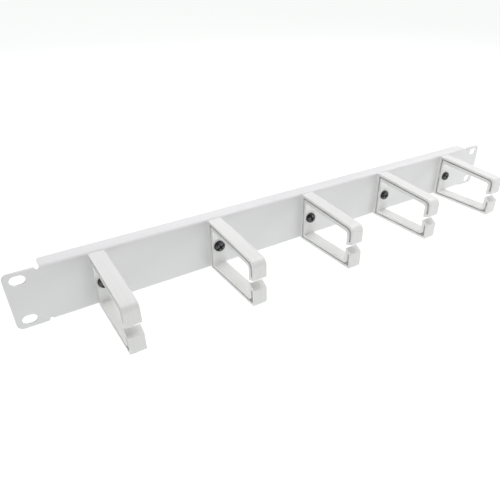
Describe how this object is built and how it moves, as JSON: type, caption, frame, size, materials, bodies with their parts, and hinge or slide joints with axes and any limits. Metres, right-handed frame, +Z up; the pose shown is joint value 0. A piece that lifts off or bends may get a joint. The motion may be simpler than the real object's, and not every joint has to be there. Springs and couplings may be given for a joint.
{
  "type": "horizontal cable manager",
  "caption": "Rack panel one unit high, folded along its top and bottom, with open-fronted plastic cable rings screwed along its face.",
  "frame": {"origin": "centre of the plane on which the ears bear against the rack rails, midway between the rack slots", "axes": "+X along the panel to the right seen from the front, +Y to the back of the rack, +Z up"},
  "size_m": [0.4826, 0.0806, 0.0443],
  "materials": {
    "painted_steel": "pale grey powder coat, satin",
    "ring_plastic": "off-white moulded plastic, satin",
    "black_steel": "black plated, semi-gloss",
    "zinc_plate": "bright zinc plate"
  },
  "bodies": {
    "root": {"panel": "painted_steel", "cable_ring_1": "ring_plastic", "ring_screw_1": "black_steel", "ring_washer_1": "zinc_plate", "ring_nut_1": "zinc_plate", "cable_ring_2": "ring_plastic", "ring_screw_2": "black_steel", "ring_washer_2": "zinc_plate", "ring_nut_2": "zinc_plate", "cable_ring_3": "ring_plastic", "ring_screw_3": "black_steel", "ring_washer_3": "zinc_plate", "ring_nut_3": "zinc_plate", "cable_ring_4": "ring_plastic", "ring_screw_4": "black_steel", "ring_washer_4": "zinc_plate", "ring_nut_4": "zinc_plate", "cable_ring_5": "ring_plastic", "ring_screw_5": "black_steel", "ring_washer_5": "zinc_plate", "ring_nut_5": "zinc_plate"}
  },
  "joints": []
}
